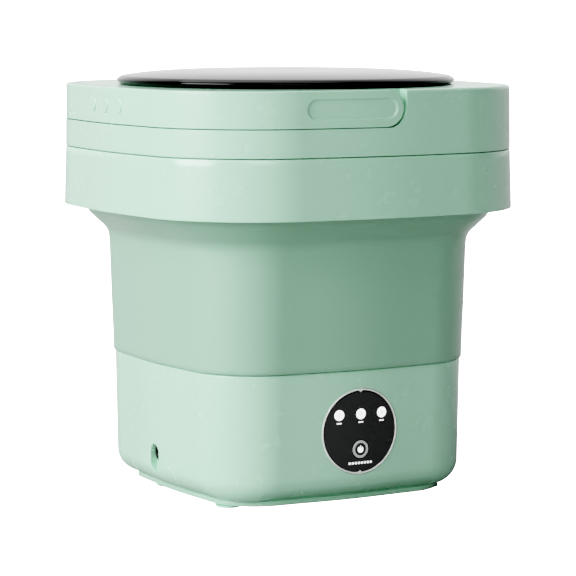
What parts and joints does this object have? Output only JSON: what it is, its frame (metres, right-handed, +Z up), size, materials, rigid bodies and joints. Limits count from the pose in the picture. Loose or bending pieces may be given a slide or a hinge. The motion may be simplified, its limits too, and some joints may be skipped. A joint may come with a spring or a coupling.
{
  "type": "portable mini washer",
  "caption": "Small portable washing machine: rounded square base with a pulsator drive, soft folding tub wall, wide collar with a swing-up carry handle, and a round lift-off lid.",
  "frame": {"origin": "on the floor under the centre of the base", "axes": "+Z up through the tub; the control panel faces -Y; the handle wraps the -X side"},
  "size_m": [0.2986, 0.2986, 0.31],
  "materials": {
    "mint_plastic": "satin moulded plastic",
    "soft_mint": "matte soft elastomer",
    "black_gloss": "polished black",
    "black_plastic": "moulded black",
    "white_plastic": "moulded white",
    "trim_ring": "satin pale trim",
    "indicator": "translucent white",
    "dark_rubber": "matte",
    "steel": "turned",
    "bronze": "sintered bush",
    "board": "solder mask",
    "red_wire": "insulation"
  },
  "bodies": {
    "base": {"base_shell": "mint_plastic", "bottom_cover": "mint_plastic", "foot_1": "soft_mint", "foot_2": "soft_mint", "foot_3": "soft_mint", "foot_4": "soft_mint", "cover_screw_1": "steel", "cover_screw_2": "steel", "cover_screw_3": "steel", "cover_screw_4": "steel", "tub_liner": "white_plastic", "soft_wall": "soft_mint", "panel_bezel": "trim_ring", "panel_lens": "black_gloss", "indicator_window_1": "indicator", "indicator_window_2": "indicator", "indicator_window_3": "indicator", "control_board": "board", "tact_switch": "black_plastic", "dc_jack": "black_plastic", "jack_wire": "black_plastic", "motor_wire": "red_wire", "gearbox_plate": "steel", "upper_bearing": "bronze", "lower_bearing": "bronze", "shaft_seal": "dark_rubber", "motor_can": "steel", "motor_end_cap": "black_plastic", "motor_screw_1": "steel", "motor_screw_2": "steel", "drain_grille": "white_plastic", "drain_elbow": "white_plastic"},
    "collar": {"collar_body": "mint_plastic", "collar_skirt": "mint_plastic", "wall_clamp_ring": "white_plastic", "pivot_pin_front": "steel", "pivot_pin_rear": "steel"},
    "handle": {"carry_handle": "mint_plastic"},
    "lid": {"lid_dome": "black_gloss", "lid_plug_ring": "black_plastic", "lid_gasket": "dark_rubber"},
    "button": {"power_button": "black_gloss"},
    "pulsator": {"pulsator": "mint_plastic", "pulsator_screw": "steel", "drive_shaft": "steel", "output_gear": "white_plastic"},
    "rotor": {"motor_shaft": "steel", "rotor_core": "steel", "pinion_gear": "steel"},
    "plug": {"drain_plug": "mint_plastic"}
  },
  "joints": [
    {"name": "wall_fold", "type": "slide", "parent": "base", "child": "collar", "axis": [0, 0, 1], "range_m": [-0.165, 0], "deforming": ["soft_wall"]},
    {"name": "handle_swing", "type": "hinge", "parent": "collar", "child": "handle", "pos_m": [0, 0, 0.28645], "axis": [0, 1, 0], "range_deg": [0, 90]},
    {"name": "lid_lift", "type": "slide", "parent": "collar", "child": "lid", "axis": [0, 0, 1], "range_m": [0, 0.055]},
    {"name": "power_press", "type": "slide", "parent": "base", "child": "button", "axis": [0, 1, 0], "range_m": [0, 0.0008], "stiffness_N_per_m": 1200},
    {"name": "pulsator_spin", "type": "hinge", "parent": "base", "child": "pulsator", "pos_m": [0, 0, 0.05], "axis": [0, 0, 1], "continuous": true},
    {"name": "rotor_spin", "type": "hinge", "parent": "base", "child": "rotor", "pos_m": [0.036, 0, 0.03], "axis": [0, 0, 1], "continuous": true},
    {"name": "plug_pull", "type": "slide", "parent": "base", "child": "plug", "axis": [0, 1, 0], "range_m": [0, 0.02]}
  ],
  "couplings": [
    {"joint": "rotor_spin", "follows": "pulsator_spin", "ratio": -3}
  ]
}
